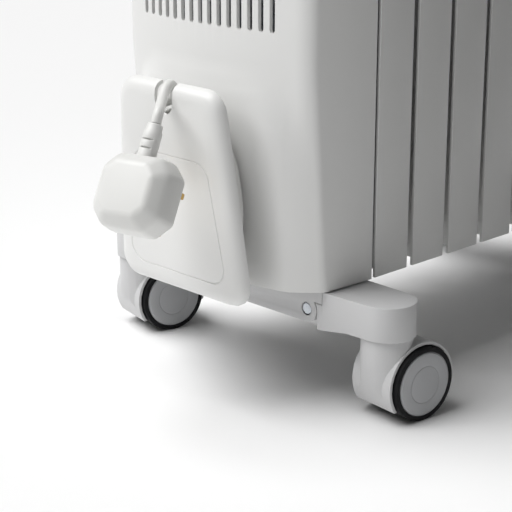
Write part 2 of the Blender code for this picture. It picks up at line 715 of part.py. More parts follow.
def plate_corners():
    return [(-PLATE_BOTTOM_HALF, PLATE_BOTTOM), (PLATE_BOTTOM_HALF, PLATE_BOTTOM),
            (PLATE_TOP_HALF, PLATE_TOP), (-PLATE_TOP_HALF, PLATE_TOP)]


def make_cord_store(plastic, rubber):
    lean = frame("store_frame", STORE_ORIGIN, tilt=LEAN)
    back = PLATE_DEPTH - PLATE_FRONT
    # Each step is how far in from the outline and how far behind the front face a ring lies.
    edge = ((0, PLATE_DEPTH), (0, 0.0062), (0.0014, 0.0030), (0.0040, 0.0009), (PLATE_EDGE, 0))
    rings = []
    for inward, behind in edge:
        outline = rounded(inset(plate_corners(), inward), PLATE_CORNER - inward * 0.8, 5)
        rings.append([(x, behind - PLATE_FRONT, z) for x, z in outline])
    skin = lofted(rings, (False, True))
    foot = PLATE_TOP - NOTCH_DEPTH + NOTCH_WIDTH / 2
    notch = arc(NOTCH_X, foot, NOTCH_WIDTH / 2, pi, 2 * pi, 6)
    notch += [(NOTCH_X + NOTCH_WIDTH / 2, PLATE_TOP + 0.01), (NOTCH_X - NOTCH_WIDTH / 2, PLATE_TOP + 0.01)]
    cutter = along_y(notch, -PLATE_FRONT - 0.01, back + 0.01)
    place("cord_wrap_plate", combined(skin, cuts=[cutter], wall=PLATE_WALL), plastic, parent=lean)

    # Its collar is inside the housing's wall and its nose ends level with the wall's face.
    collar, bore = GLAND_RADIUS + GLAND_COLLAR, CORD_RADIUS + GAP
    inside = HOUSING_WALL + GLAND_SLACK
    profile = [(inside + GLAND_COLLAR, collar), (inside, collar), (inside, GLAND_RADIUS), (0, GLAND_RADIUS),
               (0, bore), (inside + GLAND_COLLAR, bore), (inside + GLAND_COLLAR, collar)]
    gland = merged(turned_y(profile, 14))
    place("cord_gland", gland, rubber, (GLAND_X, bow(GLAND_X, FOOT_TOP) - SWELL, GLAND_Z), parent=lean)


def make_coil(look, lean):
    front = PLATE_DEPTH - PLATE_FRONT + GAP
    back = front + 4 * CORD_RADIUS + 2 * GAP
    half_width = HUB_HALF_WIDTH + COIL_THICK
    outer = rounded_box(half_width, HUB_HALF_HEIGHT + COIL_THICK, HUB_CORNER + COIL_THICK, 12, z=HUB_Z)
    inner = rounded_box(HUB_HALF_WIDTH + GAP, HUB_HALF_HEIGHT + GAP, HUB_CORNER, 12, z=HUB_Z)
    place("cord_coil", merged(ring_along_y(outer, inner, front, back)), look, parent=lean)


# From the top of the coil through the plate's notch to the plug, with Y measured from the middle
# of the housing's upper front and Z from the top of the feet.
TAIL_ROUTE = [
    (-0.0062, -0.0166, 0.1182),
    (-0.0030, -0.0216, 0.1265),
    (0.0000, -0.0276, 0.1272),
    (0.0030, -0.0336, 0.1230),
    (0.0076, -0.0398, 0.1188),
    (0.0126, -0.0462, 0.1152),
    (0.0136, -0.0494, 0.1092),
]


def make_tail(look):
    """Reads the tube's points from a smooth curve through the route's own."""
    shift = Vector((0, HOUSING_FRONT_Y, FOOT_TOP))
    route = [Vector(point) + shift for point in TAIL_ROUTE]
    points = []
    for i in range(len(route) - 1):
        before, a = route[max(i - 1, 0)], route[i]
        b, after = route[i + 1], route[min(i + 2, len(route) - 1)]
        for share in (0, 0.5):
            out, back = (b - before) / 2, (after - a) / 2
            points.append(hermite(a, out, b, back, share))
    points.append(route[-1])
    tube("cord_tail", points, CORD_RADIUS, look)
    return route[-1]


def hermite(a, out, b, back, t):
    return (a * (2 * t ** 3 - 3 * t ** 2 + 1) + out * (t ** 3 - 2 * t ** 2 + t)
            + b * (3 * t ** 2 - 2 * t ** 3) + back * (t ** 3 - t ** 2))


def make_plug(end, plastic, brass):
    """The plug hangs tilted, with its pins towards the plate. Its frame's origin is the middle
    of the pin face's upper edge, and the strain relief leaves it along its own Z."""
    stance = Matrix.Rotation(PLUG_TWIST, 3, "Z") @ Matrix.Rotation(PLUG_TILT, 3, "X")
    mouth = Vector((0, -PLUG_DEPTH * 0.45, RELIEF_LENGTH + 2 * GAP))
    origin = end - stance @ mouth
    hung = frame("plug_frame", origin, PLUG_TILT, PLUG_TWIST)

    wide, narrow = PLUG_HALF_WIDTH, PLUG_HALF_WIDTH * 0.64
    corners = [(-narrow, -PLUG_HEIGHT), (narrow, -PLUG_HEIGHT), (wide, -PLUG_HEIGHT * 0.66),
               (wide, -PLUG_HEIGHT * 0.26), (narrow, 0), (-narrow, 0),
               (-wide, -PLUG_HEIGHT * 0.26), (-wide, -PLUG_HEIGHT * 0.66)]
    rings = []
    for inward, share in ((0.0008, 0), (0, 0.05), (0, 0.30), (0.0035, 0.62), (0.0080, 0.94), (0.0100, 1)):
        outline = rounded(inset(corners, inward), 0.0046 - inward * 0.15, 2)
        rings.append([(x, -share * PLUG_DEPTH, z) for x, z in outline])
    shell = lofted(rings)
    profile = [(-0.003, 0), (-0.003, RELIEF_RADIUS + 0.0006), (RELIEF_LENGTH - 0.008, RELIEF_RADIUS),
               (RELIEF_LENGTH, 0.0046), (RELIEF_LENGTH, 0)]
    upright = Matrix.Rotation(-pi / 2, 4, "Y")
    relief = moved(turned_x(profile, 14), (0, -PLUG_DEPTH * 0.45, 0), upright)
    sockets = []
    pins = (("plug_line_pin", PIN_SPREAD, -PIN_DROP, 0.00318, 0.0020, PIN_LENGTH),
            ("plug_neutral_pin", -PIN_SPREAD, -PIN_DROP, 0.00318, 0.0020, PIN_LENGTH),
            ("plug_earth_pin", 0, -PIN_DROP - EARTH_DROP, 0.0020, 0.0040, EARTH_LENGTH))
    for name, x, z, half_width, half_height, length in pins:
        line = rounded_box(half_width, half_height, 0.0006, 2, x, z)
        place(name, along_y(line, GAP - PIN_SEAT, length), brass, parent=hung)
        sockets.append(block(x - half_width - GAP, x + half_width + GAP, -PIN_SEAT, 0.01,
                             z - half_height - GAP, z + half_height + GAP))
    carrier = rounded_box(0.0042, 0.0110, 0.002, 3, 0, -PIN_DROP - 0.004)
    carrier_seat = rounded_box(0.0042 + GAP, 0.0110 + GAP, 0.002, 3, 0, -PIN_DROP - 0.004)
    sockets.append(along_y(carrier_seat, -0.008, 0.01))
    place("plug_fuse_carrier", along_y(carrier, -0.0075, 0.0005), plastic, parent=hung)
    place("plug_body", combined(shell, [relief], sockets), plastic, parent=hung)


# ---------------------------------------------------------------- feet and castors


def foot_beam_mesh():
    """The channel, open below, with an ear at each corner for the arms' hinge screws."""
    end = ARM_ROOT_X - MOVING_GAP
    depth = FOOT_HALF_DEPTH
    ear_top = HINGE_Z + EAR_SHOULDER
    shoulder = atan2(EAR_SHOULDER, (EAR_RADIUS ** 2 - EAR_SHOULDER ** 2) ** 0.5)
    side = arc(HINGE_X, HINGE_Z, EAR_RADIUS, -pi / 2, shoulder, 6)
    right = [(end, ear_top), (end, FOOT_TOP)]
    half = side + right
    outline = half + [(-x, z) for x, z in half[::-1]]
    bar = along_y(outline, -depth, depth)
    inner = depth - EAR_THICK
    hollow = block(-end - 0.01, end + 0.01, -inner, inner, FOOT_BOTTOM - 0.02, FOOT_TOP - FOOT_WALL)
    # Between the ears' walls the middle of the channel is wider inside.
    relief = block(-HINGE_X + 0.014, HINGE_X - 0.014, FOOT_WALL - depth, depth - FOOT_WALL,
                   FOOT_BOTTOM - 0.02, FOOT_TOP - FOOT_WALL - 0.0001)
    holes = [along_y(circle(SCREW_RADIUS + GAP, 10, x, HINGE_Z), -0.03, 0.03) for x in (-HINGE_X, HINGE_X)]
    seats = [along_y(circle(SCREW_HEAD_RADIUS + GAP, 12, x, HINGE_Z), -depth - 0.01, 0.0022 - depth)
             for x in (-HINGE_X, HINGE_X)]
    return combined(bar, cuts=[hollow, relief] + holes + seats)


def arm_mesh():
    """The right arm in its own frame: the origin is on the hinge axis, in the middle of the foot."""
    depth = FOOT_HALF_DEPTH
    end_x = SWIVEL_X - HINGE_X
    top, bottom, lip = ARM_TOP - HINGE_Z, ARM_BOTTOM - HINGE_Z, ARM_LIP - HINGE_Z
    root = ARM_ROOT_X - HINGE_X
    # In plan: from the hinge to a round end about the swivel axis.
    plan = arc(end_x, 0, ARM_END_RADIUS, -pi / 2, pi / 2, 12)
    plan += [(root, depth), (-0.02, depth), (-0.02, -depth), (root, -depth)]
    body = along_z(plan, lip - 0.01, top)
    # From the front: what the beam and its ear take away.
    clear = EAR_RADIUS + MOVING_GAP
    rise = EAR_SHOULDER - MOVING_GAP
    start = atan2(rise, (clear ** 2 - rise ** 2) ** 0.5)
    cut = [(-0.03, top + 0.01), (-0.03, -0.03), (clear, -0.03)] + arc(0, 0, clear, 0, start, 4)
    cut += [(root, rise), (root, top + 0.01)]
    outside = along_y(cut, -depth - 0.01, depth + 0.01)
    # The underside rises a little towards the end.
    wedge = [(-0.03, lip - 0.02), (end_x + depth, lip - 0.02), (end_x + depth, bottom),
             (end_x - ARM_END_RADIUS, bottom), (root, lip), (-0.03, lip)]
    under = along_y(wedge, -depth - 0.01, depth + 0.01)
    # The tongue between the ears.
    inner = depth - EAR_THICK - MOVING_GAP
    knuckle = EAR_RADIUS - 0.0004
    tongue = arc(0, 0, knuckle, pi / 2, pi * 1.35, 8) + [(-0.0042, lip), (root + 0.006, lip + 0.0002)]
    tongue += [(root + 0.006, knuckle)]
    tongue = along_y(tongue, -inner, inner)
    hole = along_y(circle(SCREW_RADIUS + MOVING_GAP, 10), -0.03, 0.03)
    stem = along_z(circle(STEM_RADIUS + MOVING_GAP, 12, end_x), lip - 0.02, STEM_TOP + 0.001 - HINGE_Z)
    shaped = combined(body, cuts=[outside, under])
    return combined(shaped, [tongue], [hole, stem])


def screw_mesh():
    depth = FOOT_HALF_DEPTH
    profile = [(-depth + 0.0004, 0), (-depth + 0.0004, SCREW_HEAD_RADIUS - 0.0006),
               (-depth + 0.001, SCREW_HEAD_RADIUS), (-depth + 0.0022 - GAP, SCREW_HEAD_RADIUS),
               (-depth + 0.0022 - GAP, SCREW_RADIUS), (depth - 0.001, SCREW_RADIUS), (depth - 0.001, 0)]
    return turned_y(profile, 12)


def hood_mesh():
    """The castor's hood in its own frame: the origin is on the swivel axis, at the arm's underside."""
    axle_z = WHEEL_RADIUS - ARM_BOTTOM
    drum = arc(TRAIL, axle_z, HOOD_RADIUS, HOOD_BACK_ANGLE, HOOD_FRONT_ANGLE, 22)
    drum = along_x(drum, -HOOD_HALF_WIDTH, HOOD_HALF_WIDTH)
    neck = along_z(circle(NECK_RADIUS, 24), axle_z - 0.02, -MOVING_GAP)
    lip_y = TRAIL + HOOD_RADIUS * cos(HOOD_FRONT_ANGLE) + 0.001
    lip_z = axle_z + HOOD_RADIUS * sin(HOOD_FRONT_ANGLE)
    slant = along_x([(-0.03, axle_z + 0.005), (-NECK_RADIUS, axle_z + 0.003), (lip_y, lip_z),
                     (0.03, lip_z), (0.03, axle_z - 0.05), (-0.03, axle_z - 0.05)], -0.03, 0.03)
    neck = combined(neck, cuts=[slant])
    stem = along_z(circle(STEM_RADIUS, 12), -0.004, STEM_TOP - ARM_BOTTOM)
    well = WHEEL_RADIUS + HOOD_CLEARANCE
    wells = [along_x(circle(well, 26, TRAIL, axle_z, start=0.05), *sorted((side * HOOD_WEB, side * 0.04)))
             for side in (-1, 1)]
    bore = along_x(circle(AXLE_RADIUS + GAP, 10, TRAIL, axle_z), -0.01, 0.01)
    return combined(drum, [neck, stem], wells + [bore])


def wheel_mesh():
    """A wheel on the +X side of its castor, about the axle."""
    outer = WHEEL_RADIUS / cos(pi / WHEEL_STEPS)
    end = WHEEL_OUTER - 0.0027
    bore = AXLE_RADIUS + MOVING_GAP
    profile = [(end, 0), (end, bore), (WHEEL_INNER, bore), (WHEEL_INNER, outer - 0.001),
               (WHEEL_INNER + 0.001, outer), (WHEEL_OUTER - 0.003, outer), (WHEEL_OUTER - 0.0008, outer - 0.002),
               (WHEEL_OUTER, DISC_RADIUS), (WHEEL_OUTER, 0)]
    return turned_x(profile, WHEEL_STEPS, start=pi / WHEEL_STEPS)


def make_feet(plastic, steel, tyre):
    beam, arm, screw = foot_beam_mesh(), arm_mesh(), screw_mesh()
    hood, wheel = hood_mesh(), wheel_mesh()
    axle_reach = WHEEL_OUTER - 0.003
    axle = along_x(circle(AXLE_RADIUS, 10), -axle_reach, axle_reach)
    for end, y, end_turn in (("front", FRONT_FOOT_Y, 0), ("rear", REAR_FOOT_Y, pi)):
        place(f"{end}_foot_beam", beam, plastic, (0, y, 0), end_turn)
        for side, sign in (("right", 1), ("left", -1)):
            where = f"{end}_{side}"
            hinge = (sign * HINGE_X, y, HINGE_Z)
            place(f"hinge_screw_{where}", screw, steel, hinge, end_turn)
            place(f"arm_{where}", arm, plastic, hinge, 0 if sign > 0 else pi)
            castor = frame(f"castor_frame_{where}", (sign * SWIVEL_X, y, ARM_BOTTOM),
                           turn=CASTOR_TURN[where])
            place(f"hood_{where}", hood, plastic, parent=castor)
            centre = (0, TRAIL, WHEEL_RADIUS - ARM_BOTTOM)
            place(f"axle_{where}", axle, steel, centre, parent=castor)
            for face, turn in (("outer", 0 if sign > 0 else pi), ("inner", pi if sign > 0 else 0)):
                place(f"wheel_{where}_{face}", wheel, tyre, centre, turn, castor)


# ---------------------------------------------------------------- rear cover


def make_rear_cover(look):
    start = FIN_START_Y + RADIATOR_LENGTH + GAP
    end = start + REAR_COVER_DEPTH
    corners = box_corners(-FIN_HALF_WIDTH, FIN_HALF_WIDTH, FIN_BOTTOM, FIN_TOP)
    rings = []
    for inward, before in ((0, REAR_COVER_DEPTH), (0, 0.008), (0.0025, 0.0025), (0.008, 0)):
        outline = rounded(inset(corners, inward), FIN_CORNER - inward, 5)
        rings.append([(x, end - before, z) for x, z in outline])
    place("rear_cover", combined(lofted(rings, (False, True)), wall=REAR_COVER_WALL), look)


def main():
    for item in list(bpy.data.objects):
        bpy.data.objects.remove(item)
    white = material("white_plastic", (0.80, 0.80, 0.80), 0.42)
    grey = material("light_grey_plastic", (0.55, 0.55, 0.56), 0.45)
    enamel = material("white_enamel", (0.78, 0.78, 0.78), 0.30)
    dark = material("black_plastic", (0.03, 0.03, 0.03), 0.5)
    tyre = material("black_rubber", (0.02, 0.02, 0.02), 0.7)
    zinc = material("zinc_plated_steel", (0.62, 0.63, 0.65), 0.35, 1.0)
    brass = material("brass", (0.72, 0.55, 0.28), 0.3, 1.0)
    cream = material("white_pvc", (0.76, 0.76, 0.76), 0.5)
    amber = material("amber_lens", (0.9, 0.35, 0.05), 0.2)

    make_fins(enamel)
    make_heating(zinc, tyre, brass)
    make_housing(white)
    plate_y = make_chassis(zinc)
    make_inner_parts(plate_y, cream, zinc)
    make_controls(white, dark, amber)
    make_handle(white)
    make_rear_cover(enamel)
    make_cord_store(white, dark)
    make_coil(cream, bpy.data.objects["store_frame"])
    make_plug(make_tail(cream), cream, brass)
    make_feet(grey, zinc, tyre)


main()
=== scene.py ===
import json
from math import atan2, cos, pi, radians, sin

import bpy
from mathutils import Matrix, Vector

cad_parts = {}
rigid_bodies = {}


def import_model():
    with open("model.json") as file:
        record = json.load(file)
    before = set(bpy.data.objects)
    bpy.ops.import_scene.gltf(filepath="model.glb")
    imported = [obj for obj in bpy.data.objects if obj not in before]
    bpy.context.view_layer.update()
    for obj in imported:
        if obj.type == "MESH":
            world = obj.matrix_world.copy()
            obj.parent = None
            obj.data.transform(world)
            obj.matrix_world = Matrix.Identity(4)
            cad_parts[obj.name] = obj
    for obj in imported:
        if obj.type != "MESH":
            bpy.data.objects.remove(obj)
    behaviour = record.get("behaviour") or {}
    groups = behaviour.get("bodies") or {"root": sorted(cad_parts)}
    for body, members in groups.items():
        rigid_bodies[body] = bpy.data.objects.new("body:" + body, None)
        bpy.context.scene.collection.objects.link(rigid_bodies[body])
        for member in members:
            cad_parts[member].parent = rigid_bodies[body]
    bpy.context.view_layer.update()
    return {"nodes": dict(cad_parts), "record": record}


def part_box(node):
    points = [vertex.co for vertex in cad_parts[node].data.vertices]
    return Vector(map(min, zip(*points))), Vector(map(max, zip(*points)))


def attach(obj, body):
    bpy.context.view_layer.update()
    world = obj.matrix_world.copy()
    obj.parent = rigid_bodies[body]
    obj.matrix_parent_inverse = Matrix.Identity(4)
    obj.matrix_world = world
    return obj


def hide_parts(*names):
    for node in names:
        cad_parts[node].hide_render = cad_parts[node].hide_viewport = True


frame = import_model()
nodes = frame["nodes"]
record = frame["record"]
bodyOf = {node: body for body, names in record["behaviour"]["bodies"].items() for node in names}
slotOf = {part["node"]: part["material_slot"] for part in record["subparts"]}
jointOf = {joint["child"]: joint for joint in record["behaviour"]["joints"]}


# ---- camera

cameraValues = {
    "lens": 107.55,
    "place": (0.7020, -0.8178, 0.3899),
    "tilt": 17.52,
    "turn": 45.61,
}


def addCamera(values):
    bpy.ops.object.camera_add(location=values["place"])
    camera = bpy.context.object
    camera.rotation_euler = (radians(90 - values["tilt"]), 0, radians(values["turn"]))
    camera.data.lens = values["lens"]
    camera.data.sensor_width = 36
    camera.data.clip_end = 50
    bpy.context.scene.camera = camera


addCamera(cameraValues)
print("camera done")


# ---- helpers for modelling

def deselect():
    if bpy.context.mode != "OBJECT":
        bpy.ops.object.mode_set(mode="OBJECT")
    bpy.ops.object.select_all(action="DESELECT")


def choose(item):
    deselect()
    item.select_set(True)
    bpy.context.view_layer.objects.active = item


def applyModifiers(item):
    choose(item)
    for modifier in list(item.modifiers):
        bpy.ops.object.modifier_apply(modifier=modifier.name)


def smoothByAngle(item, angle=35):
    choose(item)
    bpy.ops.object.shade_smooth_by_angle(angle=radians(angle))


def roundEdges(item, width, segments=3, angle=35):
    edges = item.modifiers.new("edges", "BEVEL")
    edges.width = width
    edges.segments = segments
    edges.limit_method = "ANGLE"
    edges.angle_limit = radians(angle)
    applyModifiers(item)


def cutAway(item, cutter):
    cut = item.modifiers.new("cut", "BOOLEAN")
    cut.object = cutter
    cut.solver = "EXACT"
    applyModifiers(item)
    bpy.data.objects.remove(cutter)


def selectFaces(item, wanted):   # leaves the item in edit mode with only those faces selected
    choose(item)
    bpy.ops.object.mode_set(mode="EDIT")
    bpy.ops.mesh.select_mode(type="FACE")
    bpy.ops.mesh.select_all(action="DESELECT")
    bpy.ops.object.mode_set(mode="OBJECT")
    for face in item.data.polygons:
        face.select = wanted(face)
    bpy.ops.object.mode_set(mode="EDIT")


def step(inward=0.0, along=(0, 0, 0)):   # insets what is selected, then moves it
    if inward:
        bpy.ops.mesh.inset(thickness=inward, depth=0, use_even_offset=True)
    if any(along):
        bpy.ops.transform.translate(value=along)


def placeMesh(item, matrix):
    choose(item)
    bpy.ops.object.transform_apply(location=True, rotation=True, scale=True)
    item.data.transform(matrix)
    item.data.update()


def copyPiece(item, name):
    mesh = item.data.copy()
    piece = bpy.data.objects.new(name, mesh)
    bpy.context.collection.objects.link(piece)
    return piece


def finish(piece, name, body, *materials):
    piece.name = name
    mesh = piece.data
    chosen = [face.material_index for face in mesh.polygons] if hasattr(mesh, "polygons") else []
    mesh.materials.clear()
    for material in materials:
        mesh.materials.append(material)
    if len(materials) > 1:
        mesh.polygons.foreach_set("material_index", chosen)
    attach(piece, body)
    return piece


# ---- helpers for materials

def hexToLinear(code):
    channels = [int(code[i:i + 2], 16) / 255 for i in (1, 3, 5)]
    return [c / 12.92 if c <= 0.04045 else ((c + 0.055) / 1.055) ** 2.4 for c in channels] + [1]


def perMetre(millimetres):   # texture scale of a pattern that repeats every so many millimetres
    return 1000 / millimetres


def addNode(tree, kind, values=None, links=None, **settings):
    node = tree.nodes.new(kind)
    for name, value in settings.items():
        setattr(node, name, value)
    for socket, value in (values or {}).items():
        node.inputs[socket].default_value = value
    for socket, source in (links or {}).items():
        tree.links.new(source, node.inputs[socket])
    return node


def startMaterial(name, roughness, **shaderValues):
    material = bpy.data.materials.new(name)
    material.use_nodes = True
    tree = material.node_tree
    tree.nodes.clear()
    values = {"Roughness": roughness}
    values.update({key.replace("_", " "): value for key, value in shaderValues.items()})
    shader = addNode(tree, "ShaderNodeBsdfPrincipled", values)
    addNode(tree, "ShaderNodeOutputMaterial", links={"Surface": shader.outputs["BSDF"]})
    place = addNode(tree, "ShaderNodeTexCoord").outputs["Object"]
    return material, tree, shader, place


def cloudyColour(tree, shader, place, values):   # slow drift between two close colours
    noise = addNode(tree, "ShaderNodeTexNoise", {"Scale": perMetre(values["cloud"]), "Detail": 3},
                    {"Vector": place})
    mix = addNode(tree, "ShaderNodeMix", {"A": hexToLinear(values["colour"]),
                                          "B": hexToLinear(values["shade"])},
                  {"Factor": noise.outputs["Fac"]}, data_type="RGBA")
    tree.links.new(mix.outputs["Result"], shader.inputs["Base Color"])
    return noise


def unevenGloss(tree, shader, place, values):
    noise = addNode(tree, "ShaderNodeTexNoise", {"Scale": perMetre(values["smear"]), "Detail": 4},
                    {"Vector": place})
    low, high = values["roughness"] - values["glossSpread"], values["roughness"] + values["glossSpread"]
    spread = addNode(tree, "ShaderNodeMapRange",
                     {"From Min": 0.3, "From Max": 0.7, "To Min": low, "To Max": high},
                     {"Value": noise.outputs["Fac"]})
    tree.links.new(spread.outputs["Result"], shader.inputs["Roughness"])


def grainBump(tree, shader, place, values):
    noise = addNode(tree, "ShaderNodeTexNoise", {"Scale": perMetre(values["grain"]), "Detail": 2,
                                                 "Roughness": 0.55}, {"Vector": place})
    bump = addNode(tree, "ShaderNodeBump", {"Strength": values["grainStrength"],
                                            "Distance": values["grainDepth"] / 1000},
                   {"Height": noise.outputs["Fac"]})
    tree.links.new(bump.outputs["Normal"], shader.inputs["Normal"])
    return bump


def mouldedSurface(name, values, **shaderValues):
    material, tree, shader, place = startMaterial(name, values["roughness"], **shaderValues)
    cloudyColour(tree, shader, place, values)
    unevenGloss(tree, shader, place, values)
    grainBump(tree, shader, place, values)
    return material


# ---- materials

# ABS moulded in a spark-eroded tool: an even satin white with a very fine grain.
# The real grain is about 0.2 mm and is drawn at 0.7 mm so that it shows.
whiteAbsValues = {
    "colour": "#EDEDEC",
    "shade": "#E7E7E5",
    "cloud": 120,
    "roughness": 0.40,
    "glossSpread": 0.04,
    "smear": 30,
    "grain": 0.7,
    "grainDepth": 0.03,
    "grainStrength": 0.35,
}

# The feet are the same ABS in a light grey, a little rougher from a coarser tool.
greyAbsValues = {
    "colour": "#D2D2D2",
    "shade": "#CACACB",
    "cloud": 70,
    "roughness": 0.46,
    "glossSpread": 0.05,
    "smear": 18,
    "grain": 0.8,
    "grainDepth": 0.04,
    "grainStrength": 0.45,
}

# Powder coat on pressed steel sheet: satin white with the slight orange peel of melted powder.
powderCoatValues = {
    "colour": "#E4E4E3",
    "shade": "#DDDDDB",
    "cloud": 160,
    "roughness": 0.36,
    "glossSpread": 0.05,
    "smear": 45,
    "grain": 2.2,
    "grainDepth": 0.06,
    "grainStrength": 0.30,
}

# PVC cord sheath: extruded, so smooth and a little waxy.
pvcValues = {
    "colour": "#E6E6E4",
    "shade": "#DEDEDB",
    "cloud": 40,
    "roughness": 0.44,
    "glossSpread": 0.05,
    "smear": 9,
    "grain": 0.9,
    "grainDepth": 0.02,
    "grainStrength": 0.3,
}

# PBT of the switch case, gland and thermostat: black and dull.
blackPbtValues = {
    "colour": "#1B1C1E",
    "shade": "#232426",
    "cloud": 25,
    "roughness": 0.52,
    "glossSpread": 0.06,
    "smear": 8,
    "grain": 0.6,
    "grainDepth": 0.04,
    "grainStrength": 0.5,
}

# Tyre: black thermoplastic rubber, matt, with a trace of floor dust in its grain.
tyreValues = {
    "colour": "#0B0B0C",
    "shade": "#17171A",
    "cloud": 14,
    "roughness": 0.66,
    "glossSpread": 0.08,
    "smear": 6,
    "grain": 0.5,
    "grainDepth": 0.05,
    "grainStrength": 0.6,
}

# Zinc plate on steel: bright grey metal with a cloudy, slightly blue passivation.
zincValues = {
    "colour": "#C3C7CB",
    "shade": "#AEB4BB",
    "cloud": 12,
    "roughness": 0.30,
    "glossSpread": 0.10,
    "smear": 4,
    "grain": 0.4,
    "grainDepth": 0.01,
    "grainStrength": 0.3,
}

# Brass strip of the plug's pins: stamped, polished by use.
brassValues = {
    "colour": "#D2B06A",
    "shade": "#BE9850",
    "cloud": 7,
    "roughness": 0.24,
    "glossSpread": 0.08,
    "smear": 3,
    "grain": 0.4,
    "grainDepth": 0.01,
    "grainStrength": 0.25,
}

# Polycarbonate lens of the pilot lamp: clear amber with a moulded frost inside.
amberValues = {
    "colour": "#E8841E",
    "shade": "#D9701A",
    "cloud": 3,
    "roughness": 0.14,
    "glossSpread": 0.04,
    "smear": 2,
    "grain": 0.6,
    "grainDepth": 0.02,
    "grainStrength": 0.4,
}

# Pad-printed ink of the scale: thin, dark grey, slightly glossy.
printValues = {
    "colour": "#3A3C3F",
    "shade": "#424447",
    "cloud": 6,
    "roughness": 0.42,
    "glossSpread": 0.05,
    "smear": 4,
    "grain": 0.5,
    "grainDepth": 0.01,
    "grainStrength": 0.3,
}

whiteAbs = mouldedSurface("white ABS", whiteAbsValues, IOR=1.53)
greyAbs = mouldedSurface("light grey ABS", greyAbsValues, IOR=1.53)
powderCoat = mouldedSurface("white powder coat", powderCoatValues, IOR=1.5, Coat_Weight=0.12,
                            Coat_Roughness=0.25)
whitePvc = mouldedSurface("white PVC", pvcValues, IOR=1.52, Sheen_Weight=0.05)
blackPbt = mouldedSurface("black PBT", blackPbtValues, IOR=1.55)
tyreRubber = mouldedSurface("black tyre rubber", tyreValues, IOR=1.5, Specular_IOR_Level=0.25)
zincPlate = mouldedSurface("zinc plated steel", zincValues, Metallic=1.0)
brass = mouldedSurface("brass strip", brassValues, Metallic=1.0)
amberLens = mouldedSurface("amber polycarbonate", amberValues, IOR=1.58, Transmission_Weight=0.35)
materialOf = {
    "white_plastic": whiteAbs,
    "light_grey_plastic": greyAbs,
    "white_enamel": powderCoat,
    "black_plastic": blackPbt,
    "black_rubber": tyreRubber,
    "zinc_plated_steel": zincPlate,
    "brass": brass,
    "white_pvc": whitePvc,
    "amber_lens": amberLens,
}
print("materials done")


# ---- where the cord store stands: a frame that leans back with the lower front

storeValues = {
    "lean": 4.3,
    "plateFront": 0.0320,   # from the frame's upright plane to the plate's front
    "plateFlatTop": 0.1235,   # height where the plate's flat front ends
}


def storeMatrix(values):
    lean = radians(values["lean"])
    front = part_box("cord_wrap_plate")[0][1]
    y = front + values["plateFront"] * cos(lean) + values["plateFlatTop"] * sin(lean)
    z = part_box("front_foot_beam")[1][2]
    return Matrix.Translation((0, y, z)) @ Matrix.Rotation(lean, 4, "X")


store = storeMatrix(storeValues)


# ---- how the plug hangs

plugValues = {
    "halfWidth": 0.0256,
    "height": 0.048,
    "depth": 0.026,
    "cornerCut": 0.0100,
    "straightDepth": 0.008,   # of the rim next to the pins
    "edge": 0.0028,
    "twist": 13,
    "tilt": -29,
    "reliefRadius": 0.0058,
    "reliefLength": 0.0200,
    "reliefRoot": 0.006,   # how far it starts inside the plug
    "reliefRoll": 0.0015,   # how much shorter the plain cylinder is than the steps after it
    "slotDepth": 0.0022,
    "slotHeight": 0.0011,
    "slotPlaces": (0.0042, 0.0095),
    "middleDepth": 0.45,   # share of the plug's depth where the cord's line runs
    "carrierMiddle": (0, -0.0035, -0.0195),   # of the fuse carrier, from the pin face's upper edge
    "frontSteps": ((0.55, 0.96), (0.45, 0.72)),   # share of the remaining depth, and how much it narrows
    "tipGap": 0.0006,   # from the strain relief's own height to where the cord's line ends
}


def plugMatrix(values):
    twist = Matrix.Rotation(radians(values["twist"]), 4, "Z")
    turn = twist @ Matrix.Rotation(radians(values["tilt"]), 4, "X")
    low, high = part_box("plug_fuse_carrier")
    carrierMiddle = (Vector(low) + Vector(high)) / 2
    return Matrix.Translation(carrierMiddle - turn.to_3x3() @ Vector(values["carrierMiddle"])) @ turn


def reliefEnd(values, stance):   # where the cord's line meets the strain relief
    rise = values["reliefLength"] + values["tipGap"]
    return stance @ Vector((0, -values["depth"] * values["middleDepth"], rise))


# ---- the mains cord: from its gland, wound in two rows on the store's hub, out to the plug

cordValues = {
    "radius": 0.0033,
    "length": 1.50,
    "hubMiddle": 0.056,
    "hubStraight": 0.013,   # half of each turn's straight stretch
    "firstTurn": 0.0264,   # radius of the turn on the hub
    "turnPitch": 0.0069,
    "backRow": -0.0134,
    "frontRow": -0.0204,
    "backTurns": 2.4,
    "frontTurns": 2.261,
    "shiftTurns": 0.5,
    "slack": 0.0067,   # how far the last turn bows out at the right
    "start": 208,   # degrees, where the cord joins the outermost turn of the back row
    "pointsPerTurn": 16,
}

# In the store's frame: from the gland to the first turn, and from the last turn to the notch.
cordFromGland = [
    (-0.0340, -0.0050, 0.0140),
    (-0.0343, -0.0095, 0.0145),
    (-0.0362, -0.0126, 0.0178),
]
cordToNotch = [
    (-0.0322, -0.0204, 0.0972),
    (-0.0262, -0.0203, 0.1057),
    (-0.0175, -0.0198, 0.1143),
]

# The stretch that shows, from behind the plate to the plug, measured from the strain relief's tip.
cordTail = [
    (-0.0198, 0.0328, 0.0090),
    (-0.0166, 0.0278, 0.0173),
    (-0.0136, 0.0218, 0.0180),
    (-0.0106, 0.0158, 0.0138),
    (-0.0060, 0.0096, 0.0096),
    (-0.0010, 0.0032, 0.0060),
    (0.0, 0.0, 0.0),
]


def turnPoint(values, angle, radius, y):
    straight = values["hubStraight"] if sin(angle) > 0 else -values["hubStraight"]
    return (radius * cos(angle), y, values["hubMiddle"] + straight + radius * sin(angle))


